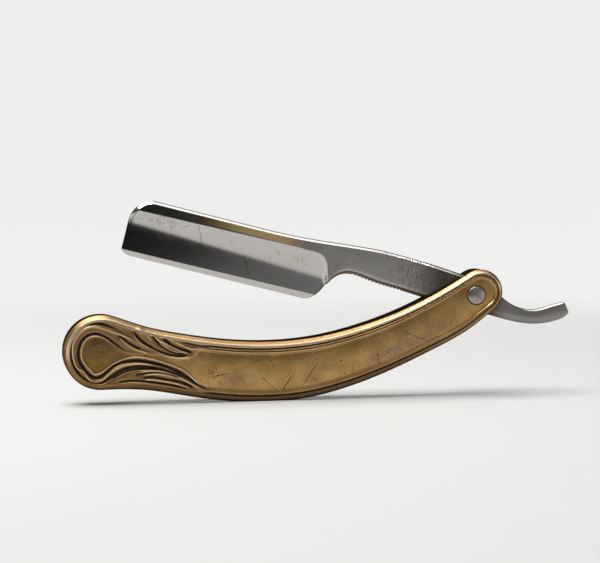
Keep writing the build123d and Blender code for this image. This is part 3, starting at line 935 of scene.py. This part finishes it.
# Blade, in millimetres along it and up from the pivot, lying level with its edge down
blade = {
    "tilt": -14.3,
    "noseX": -132.1,
    "edgeHeight": -16.6,
    "heelX": -63.0,
    "nose": [(-132.1, -5.0), (-129.7, 1.9), (-124.1, 4.7)],
    "toe": [(-132.1, -14.2), (-131.0, -15.85), (-127.9, -16.6)],
    "heel": [(-63.0, -16.6), (-60.2, -15.6), (-57.1, -12.0), (-54.6, -7.4), (-51.3, -4.6), (-47.5, -3.7)],
    "underside": [
        (-47.5, -3.7), (-39.3, -4.5), (-27.0, -5.1), (-12.0, -5.9), (6.0, -5.9), (20.5, -6.0), (28.1, -4.7),
        (35.2, -1.6), (37.6, 0.1),
    ],
    "topside": [
        (-90.0, 4.7), (-74.0, 4.9), (-61.4, 5.7), (-46.1, 7.1), (-34.3, 7.7), (-22.3, 7.4), (-10.0, 6.6),
        (1.0, 5.3), (9.5, 2.6), (15.5, 0.1), (21.2, -0.5), (26.6, 0.7), (31.2, 3.2), (35.7, 5.6),
    ],
    "tip": [(35.7, 5.6), (36.4, 5.5), (37.1, 5.0), (38.0, 3.9), (38.7, 2.9), (38.9, 2.3), (38.9, 1.9)],
    "planX": [-133.1, -60, -48, -12, 8, 40],
    "planHalfThickness": [2.0, 2.4, 2.4, 2.3, 2.3, 1.4],
    "wheelRadius": 40.0,
    "wheelCentre": (40.35, -11.33),
    "bevelTop": (-14.9, -14.3),
    "bevelHalfThickness": 0.45,
    "edgeHalfThickness": 0.05,
    "hollowEnd": [(-67.0, 1.3), (-61.3, 1.1), (-59.0, -0.3), (-57.3, -2.8), (-56.4, -5.7), (-55.7, -8.5),
                  (-54.8, -11.5), (-53.8, -14.5), (-53.0, -17.5)],
    "hollowEndWidth": 2.6,
    "rounding": 0.6,
    "spineChamfer": 1.1,
    "noseCut": 0.55,
    "noseCutWidth": 1.1,
    "notchRadius": 0.6,
    "notchDepth": 0.6,
    "notchesBelow": (-46.6, -27.9),
    "notchesAbove": (-36.2, -21.5),
    "notchCount": 14,
    # Tarnish: centre, reach, strength
    "tarnished": [((-122, -1), (8, 2.6), 0.65), ((-54, 0), (4, 4), 0.6), ((-68, -3), (5, 3), 0.45)],
}


def bladeEdges(along):
    # Heights of the top and of the bottom at each place along the blade
    nose = curveThrough(blade["nose"], 0.02, 90, 0)
    top = curveThrough(blade["topside"], 0.1, 0, 30)
    toe = curveThrough(blade["toe"], 0.02, -90, 0)
    heel = curveThrough(blade["heel"], 0.05, 0, 0)
    under = curveThrough(blade["underside"], 0.1, 0, 45)
    upper = np.concatenate([nose, top, blade["tip"]])
    lower = np.concatenate([toe, heel, under, [(38.4, 0.9), blade["tip"][-1]]])
    return np.interp(along, *upper.T), np.interp(along, *lower.T)


def notched(along, ends):
    # How deep the round thumb notches cut at each place
    centres = np.linspace(*ends, blade["notchCount"])
    gap = np.abs(along[:, None] - centres).min(1)
    bite = np.sqrt(np.clip(blade["notchRadius"]**2 - gap**2, 0, None))
    return np.clip(bite - (blade["notchRadius"] - blade["notchDepth"]), 0, None)


def rounded(gap, radius):
    # How far a round edge falls back at this gap from it
    return radius - np.sqrt(np.clip(radius**2 - np.clip(radius - gap, 0, None)**2, 0, None))


def bladeThickness(points, fromTop, fromBottom):
    # Half thickness over the side view, and how much of each point is tang
    x, z = points.T
    flank = np.interp(x, blade["planX"], blade["planHalfThickness"])
    across, up = blade["wheelCentre"]
    ground = across - np.sqrt(blade["wheelRadius"]**2 - np.clip(z - up, -12, 39)**2)
    bevelTop = np.interp(x, [blade["noseX"], blade["heelX"]], blade["bevelTop"])
    share = np.clip((z - blade["edgeHeight"]) / (bevelTop - blade["edgeHeight"]), 0, 1)
    bevel = blade["edgeHalfThickness"] + (blade["bevelHalfThickness"] - blade["edgeHalfThickness"]) * share
    ground = np.where(z < bevelTop, np.minimum(ground, bevel), ground)
    end = curveThrough(blade["hollowEnd"], 0.3)
    outline = np.concatenate([[(-200, 1.2)], end, [(-200, -18.5)]])
    gap, _ = nearest(end, points, 8.0)
    inside = insideOf(outline, points)
    # The wheel runs out to the flank at the shoulder
    signed = np.where(x < -76, 99.0, np.where(inside, gap, -gap))
    wide = blade["hollowEndWidth"] * (0.3 + 0.7 * softStep(z, -10.5, -5.0))
    runOut = (1 - np.clip(signed / wide, 0, 1))**2
    half = np.minimum(flank, ground * (1 - runOut) + flank * runOut)
    tang = 1 - softStep(signed, -0.15, 0.2)
    tang = np.where(z > 1.1, softStep(x, -74, -60), tang)
    noseGap, _ = nearest(curveThrough(blade["nose"], 0.1, 90, 0), points, 3.0)
    fromTop = np.where(x < blade["nose"][-1][0], np.minimum(fromTop, noseGap), fromTop)
    chamfer = blade["spineChamfer"] * (softStep(x, 2.0, -8.0) + 0.55 * softStep(x, 14, 22))
    sloped = flank - chamfer + fromTop
    cut = np.clip(blade["noseCutWidth"] - noseGap, 0, None) * softStep(z, -13, -1)
    half = half - blade["noseCut"] * cut
    # A little rounding where the chamfer meets the flat
    over = np.clip(0.25 - np.abs(half - sloped), 0, None)
    half = np.maximum(np.minimum(half, sloped) - over**2, 0.04)
    half = half - rounded(fromTop, blade["rounding"]) * softStep(chamfer, 0.5, 0.0)
    # The tang and the tail are a little barrelled, and rounded along the underside
    share = fromBottom / np.maximum(fromBottom + fromTop, 0.01)
    barrel = 0.12 * softStep(x, -56, -44) + 0.4 * softStep(x, 8, 22)
    half = half - barrel * (2 * share - 1)**2
    under = rounded(fromBottom / 3.2, 0.8) * softStep(x, -57, -50) + rounded(fromBottom, 0.08)
    half = half - np.minimum(under, half * 0.6)
    return half, tang


def bladeMarks(x, z, fromTop, fromBottom):
    # Where each finish lies, from the place on the blade and the distance in from its edges
    tarnish = 0.35 * softStep(x, -24, -8) * softStep(x, 20, 8)
    for (across, up), (reach, rise), strength in blade["tarnished"]:
        tarnish = tarnish + strength * np.exp(-((x - across) / reach)**2 - ((z - up) / rise)**2)
    back = softStep(z, 1.0, 1.4) * softStep(z, 4.0, 3.5)
    filed = softStep(x, -38, -33) * softStep(x, -16, -21)
    # Painted shade along the underside of the tang and the tail
    rim = softStep(x, -60, -54) * softStep(fromBottom, 1.4, 1.0) * softStep(x, 16, 8)
    rim = rim + softStep(fromBottom, 0.25, 0.1) * softStep(x, 8, 16)
    # Painted highlight along the chamfer of the spine, and along the top of the tail
    spine = softStep(fromTop, 0.35, 0.45) * softStep(fromTop, 1.15, 1.0) * softStep(x, -4, -12)
    tailTop = softStep(fromTop, 0.2, 0.3) * softStep(fromTop, 0.5, 0.4) * softStep(x, 18, 24)
    return {
        "tarnish": np.clip(tarnish, 0, 1),
        "bronzed": back * softStep(x, -112, -108) * softStep(x, -64, -78),
        "gilt": softStep(x, -109, -90),
        "filed": filed * (0.4 + 0.6 * softStep(z, -5, 2)),
        "patina": softStep(x, -29, -12) * softStep(x, 16, 9),
        "rim": np.clip(rim, 0, 1),
        "bare": np.maximum(spine, tailTop),
        # Painted shade along the top rounding of the spine
        "outline": softStep(fromTop, 0.42, 0.28) * softStep(x, 12, 6),
        "tail": softStep(x, 8, 14),
    }


def makeBladeMesh(name):
    stations = np.concatenate([
        blade["noseX"] + 8 * (1 - np.cos(np.linspace(0, np.pi / 2, 40))),
        np.linspace(-124.1, -68, 70)[1:],
        np.linspace(-68, -17, 250)[1:],
        np.linspace(-17, 35, 66)[1:],
        blade["tip"][-1][0] - 3.9 * (1 - np.sin(np.linspace(0, np.pi / 2, 24)))[1:],
    ])
    upper, lower = bladeEdges(stations)
    offsets = np.array([0, 0.03, 0.07, 0.12, 0.18, 0.26, 0.4, 0.6, 0.8, 1.0, 1.1, 1.2, 1.4])
    shares = 1 - (1 - np.linspace(0, 1, 78)[1:-1])**1.2
    height = upper - lower
    fit = np.minimum(1, height / 3.2)[:, None]
    bottomRows = lower[:, None] + offsets * fit
    topRows = upper[:, None] - offsets[::-1] * fit
    inner = bottomRows[:, -1:] + (topRows[:, :1] - bottomRows[:, -1:]) * shares
    z = np.concatenate([bottomRows, inner, topRows], 1)
    x = np.broadcast_to(stations[:, None], z.shape)
    fromTop = upper[:, None] - z
    fromBottom = z - lower[:, None]
    points = np.stack([x.ravel(), z.ravel()], -1)
    half, tang = bladeThickness(points, fromTop.ravel(), fromBottom.ravel())
    half, tang = half.reshape(z.shape), tang.reshape(z.shape)
    biteBelow = notched(stations, blade["notchesBelow"])[:, None] * np.clip(1 - fromBottom / 1.0, 0, 1)
    biteAbove = notched(stations, blade["notchesAbove"])[:, None] * np.clip(1 - fromTop / 1.0, 0, 1) * 0.28
    z = z + biteBelow - biteAbove
    # Close the section at the top, the bottom, the nose and the tip
    grow = ((1, 1), (1, 1))
    x, z = (np.pad(part, grow, "edge") for part in (x, z))
    tang = np.pad(tang, grow, "edge")
    half = np.pad(half, grow)
    tilt = math.radians(blade["tilt"])
    places = np.zeros((*x.shape, 3))
    places[..., 0] = pivot.x + (x * math.cos(tilt) - z * math.sin(tilt)) * mm
    places[..., 1] = -half * mm
    places[..., 2] = pivot.z + (x * math.sin(tilt) + z * math.cos(tilt)) * mm
    fromBottom, fromTop = (np.pad(part, grow, "edge") for part in (fromBottom, fromTop))
    marks = bladeMarks(x, z, fromTop, fromBottom)
    marks["tang"] = tang
    mesh = wrapGrid(name, x.shape[1], x.shape[0], places, marks)
    whole = bmesh.new()
    whole.from_mesh(mesh)
    everything = whole.verts[:] + whole.edges[:] + whole.faces[:]
    bmesh.ops.mirror(whole, geom=everything, axis="Y", merge_dist=0.002 * mm)
    bmesh.ops.remove_doubles(whole, verts=whole.verts, dist=0.002 * mm)
    bmesh.ops.recalc_face_normals(whole, faces=whole.faces)
    whole.to_mesh(mesh)
    whole.free()
    return mesh


steel = bladeSteel(steelLook)
bladeMesh = makeBladeMesh("groundBlade")
addPiece("ground_blade", bladeMesh, "blade", steel, "razor_blade")
print("blade made,", len(bladeMesh.polygons), "faces")


# Turned pieces: the pivot pin, its collars and the wedge pin, in millimetres out from the middle
turned = {
    "steps": 64,
    "pinRadius": 1.6,
    "headSeat": 5.6,
    "headRadius": 3.3,
    "headWall": 0.2,
    "headHeight": 1.0,
    "collarRadius": 3.75,
    "collarSeat": 5.2,
    "collarThickness": 0.4,
    "collarRounding": 0.12,
    "wedgePinTop": 5.18,
    "wedgePinRadius": 1.1,
    "wedgeHeadRadius": 1.5,
    "wedgeHeadDepth": 0.5,
}


def spun(name, profile, centre):
    # A closed profile of (radius, distance out along Y) in millimetres, spun round Y
    body = bmesh.new()
    verts = [body.verts.new(centre + Vector((radius * mm, out * mm, 0))) for radius, out in profile]
    edges = [body.edges.new(pair) for pair in zip(verts, verts[1:])]
    bmesh.ops.spin(
        body, geom=verts + edges, cent=centre, axis=(0, 1, 0), angle=2 * math.pi,
        steps=turned["steps"], use_merge=True,
    )
    bmesh.ops.remove_doubles(body, verts=body.verts, dist=0.001 * mm)
    bmesh.ops.recalc_face_normals(body, faces=body.faces)
    for face in body.faces:
        face.smooth = True
    mesh = bpy.data.meshes.new(name)
    body.to_mesh(mesh)
    body.free()
    return mesh


def pinProfile():
    seat, radius, wall = turned["headSeat"], turned["headRadius"], turned["headWall"]
    rise = turned["headHeight"] - wall
    domeRadius = (radius**2 + rise**2) / (2 * rise)
    front = []
    for angle in np.linspace(0, math.asin(radius / domeRadius), 24):
        out = seat + wall + rise - domeRadius * (1 - math.cos(angle))
        front.append((domeRadius * math.sin(angle), -out))
    # The rim of the head is a little rounded where it was peened
    front[-1] = (radius - 0.1, -(seat + wall + 0.02))
    front += [(radius - 0.02, -(seat + wall - 0.05)), (radius, -(seat + wall - 0.12))]
    front += [(radius, -seat - 0.03), (radius - 0.03, -seat), (turned["pinRadius"], -seat)]
    return front + [(reach, -out) for reach, out in front[::-1]]


def collarProfile(side):
    seat, radius, edge = turned["collarSeat"], turned["collarRadius"], turned["collarRounding"]
    top = seat + turned["collarThickness"]
    inner = turned["pinRadius"]
    points = [(inner, seat), (radius, seat), (radius, top - edge), (radius - edge * 0.3, top - edge * 0.3),
              (radius - edge, top), (inner, top), (inner, seat)]
    return [(reach, side * out) for reach, out in points]


def wedgePinProfile():
    # Peened flush, with a small punch mark in the middle of each end
    top, radius = turned["wedgePinTop"], turned["wedgeHeadRadius"]
    seat, shank = top - turned["wedgeHeadDepth"], turned["wedgePinRadius"]
    front = [(0, -(top - 0.3)), (0.14, -(top - 0.24)), (0.26, -(top - 0.06)), (0.36, -top)]
    front += [(radius - 0.6, -top), (radius - 0.3, -(top - 0.02)), (radius, -(top - 0.12))]
    front += [(radius, -seat), (shank, -seat)]
    return front + [(reach, -out) for reach, out in front[::-1]]


pinMetal = pinSteel(pinLook)
collarIron = plainMetal("collarIron")
linerBlack = plainMetal("linerBlack")
wedgeBrass = plainMetal("wedgeBrass")
washerBrass = plainMetal("washerBrass")

pinCentre = Vector((pivot.x, 0, pivot.z))
pinMesh = spun("peenedPivotPin", pinProfile(), pinCentre)
addPiece("peened_pivot_pin", pinMesh, "handle", pinMetal, "pivot_pin")
for side, node in ((-1, "front_collar"), (1, "rear_collar")):
    mesh = spun("turned_" + node, collarProfile(side), pinCentre)
    addPiece("turned_" + node, mesh, "handle", collarIron, node)

# The wedge pin is brass, and gets the same painted shade as the cartouche and the upper part round it
wedgePinMesh = spun("peenedWedgePin", wedgePinProfile(), middle("wedge_pin"))
for mark, value in (("groove", 0.19), ("upper", 0.9)):
    attribute = wedgePinMesh.attributes.new(mark, "FLOAT", "POINT")
    attribute.data.foreach_set("value", np.full(len(wedgePinMesh.vertices), value, np.float32))
addPiece("peened_wedge_pin", wedgePinMesh, "handle", brass, "wedge_pin")

cadLooks = {
    "front_liner": linerBlack,
    "rear_liner": linerBlack,
    "wedge": wedgeBrass,
    "front_washer": washerBrass,
    "rear_washer": washerBrass,
}
for node, material in cadLooks.items():
    nodes[node].data.materials.clear()
    nodes[node].data.materials.append(material)
print("pin, collars and inner pieces made")


# Studio: a pale dish of a floor, soft light from above, and dark cards for the metal to reflect
studio = {
    "floorRadius": 1.7,
    "curveRadius": 0.8,
    "floorColour": (0.53, 0.53, 0.522),
    "wallGlow": (0.845, 0.843, 0.832),
    "wallFrom": 0.13,
    "wallTo": 0.6,
    "skyColour": (1.0, 0.995, 0.985),
    "skyStrength": 0.28,
    "skyInMetalLow": 0.1,
    "skyInMetalHigh": 1.5,
    "lampPlace": (-0.28, 0.02, 0.95),
    "lampSize": 0.7,
    "lampPower": 15.4,
    "cardDistance": 0.17,
    "cardWidth": 0.5,
    "cardHeight": 0.2,
    "cardBottom": 0.004,
    # From the card's left end to its right end
    "cardTones": [
        (0.0, 0.4), (0.2, 0.03), (0.36, 0.0), (0.44, 0.03),
        (0.51, 0.16), (0.6, 0.25), (0.75, 0.3), (1.0, 0.5),
    ],
    "cameraAzimuth": -12.0,
    "cameraElevation": 3.5,
    "cameraDistance": 0.6127,
    "cameraAim": (-0.0088, 0.0, 0.0432),
    "cameraLens": 100.0,
}


def paleFloor(name):
    # Away from the razor the floor and the wall are lit from behind, as a light table is
    finish = Finish(bpy.data.materials.new(name))
    here = finish.node("ShaderNodeTexCoord", output="Object")
    grain = finish.noise(here, 40.0, 3.0, 0.6, 61.0)
    reach = finish.vector("LENGTH", {0: here}, "Value")
    lit = finish.between(reach + grain * 0.01, studio["wallFrom"], studio["wallTo"])
    return finish.surface(**{
        "Base Color": finish.paint(studio["floorColour"], (0.0, 0.0, 0.0), lit),
        "Roughness": 0.9,
        "Specular IOR Level": 0.1,
        "Emission Color": finish.paint((0.0, 0.0, 0.0), studio["wallGlow"], lit),
        "Emission Strength": 1.0,
    })


def cardPaint(name):
    finish = Finish(bpy.data.materials.new(name))
    here = finish.node("ShaderNodeTexCoord", output="Object")
    across = finish.split(here, "X") * (1 / studio["cardWidth"]) + 0.5
    stops = [(place, (tone, tone, tone)) for place, tone in studio["cardTones"]]
    tones = finish.node("ShaderNodeValToRGB", {"stops": stops}, {"Fac": across})
    return finish.surface(**{
        "Base Color": (0.0, 0.0, 0.0),
        "Specular IOR Level": 0.0,
        "Emission Color": tones,
        "Emission Strength": 1.0,
    })


def addStage(name, body, material):
    mesh = bpy.data.meshes.new(name)
    body.to_mesh(mesh)
    body.free()
    mesh.materials.append(material)
    piece = bpy.data.objects.new(name, mesh)
    bpy.context.scene.collection.objects.link(piece)
    return piece


def makeFloor():
    body = bmesh.new()
    profile = [(0.0, 0.0), (0.3, 0.0), (0.8, 0.0)]
    for angle in np.linspace(-90, 0, 16):
        across, up = towards(angle) * studio["curveRadius"]
        profile.append((studio["floorRadius"] + across, studio["curveRadius"] + up))
    verts = [body.verts.new((reach, 0, height)) for reach, height in profile]
    edges = [body.edges.new(pair) for pair in zip(verts, verts[1:])]
    bmesh.ops.spin(
        body, geom=verts + edges, cent=(0, 0, 0), axis=(0, 0, 1), angle=2 * math.pi,
        steps=96, use_merge=True,
    )
    bmesh.ops.remove_doubles(body, verts=body.verts, dist=0.0001)
    bmesh.ops.recalc_face_normals(body, faces=body.faces)
    for face in body.faces:
        face.smooth = True
        if face.normal.z < 0:
            face.normal_flip()
    return addStage("floor", body, paleFloor("paleFloor"))


def makeCard(name, side):
    # Seen only in reflections
    body = bmesh.new()
    bmesh.ops.create_grid(body, x_segments=1, y_segments=1, size=0.5)
    bmesh.ops.scale(body, vec=(studio["cardWidth"], studio["cardHeight"], 1), verts=body.verts)
    bmesh.ops.rotate(body, cent=(0, 0, 0), matrix=Matrix.Rotation(math.pi / 2, 3, "X"), verts=body.verts)
    centre = Vector((0, side * studio["cardDistance"], studio["cardBottom"] + studio["cardHeight"] / 2))
    bmesh.ops.translate(body, vec=centre, verts=body.verts)
    card = addStage(name, body, cardPaint(name + "Paint"))
    card.visible_camera = False
    card.visible_diffuse = False
    card.visible_shadow = False
    card.visible_transmission = False
    return card


makeFloor()
makeCard("frontCard", -1)
makeCard("rearCard", 1)


def makeSky():
    # Even for the floor, and for the metal dark low down and bright overhead
    world = bpy.data.worlds.new("sky")
    sky = Finish(world)
    up = sky.split(sky.node("ShaderNodeTexCoord", output="Generated"), "Z")
    metal = sky.between(up, 0.72, 0.95, studio["skyInMetalLow"], studio["skyInMetalHigh"])
    glossy = sky.node("ShaderNodeLightPath", output="Is Glossy Ray")
    strength = glossy * (metal - studio["skyStrength"]) + studio["skyStrength"]
    values = {"Color": colour(studio["skyColour"]), "Strength": strength}
    background = sky.node("ShaderNodeBackground", None, values)
    sky.node("ShaderNodeOutputWorld", None, {"Surface": background})
    bpy.context.scene.world = world


makeSky()
bpy.context.scene.view_settings.view_transform = "Standard"

lampData = bpy.data.lights.new("softbox", "AREA")
lampData.shape = "SQUARE"
lampData.size = studio["lampSize"]
lampData.energy = studio["lampPower"]
lamp = bpy.data.objects.new("softbox", lampData)
lamp.location = studio["lampPlace"]
lamp.rotation_euler = (-lamp.location).to_track_quat("-Z", "Y").to_euler()
bpy.context.scene.collection.objects.link(lamp)

cameraData = bpy.data.cameras.new("camera")
cameraData.lens = studio["cameraLens"]
cameraData.sensor_width = 36.0
cameraData.clip_start = 0.01
camera = bpy.data.objects.new("camera", cameraData)
azimuth, elevation = math.radians(studio["cameraAzimuth"]), math.radians(studio["cameraElevation"])
back = Vector((
    math.sin(azimuth) * math.cos(elevation),
    -math.cos(azimuth) * math.cos(elevation),
    math.sin(elevation),
))
camera.location = Vector(studio["cameraAim"]) + back * studio["cameraDistance"]
camera.rotation_euler = (-back).to_track_quat("-Z", "Y").to_euler()
bpy.context.scene.collection.objects.link(camera)
bpy.context.scene.camera = camera
print("studio made")
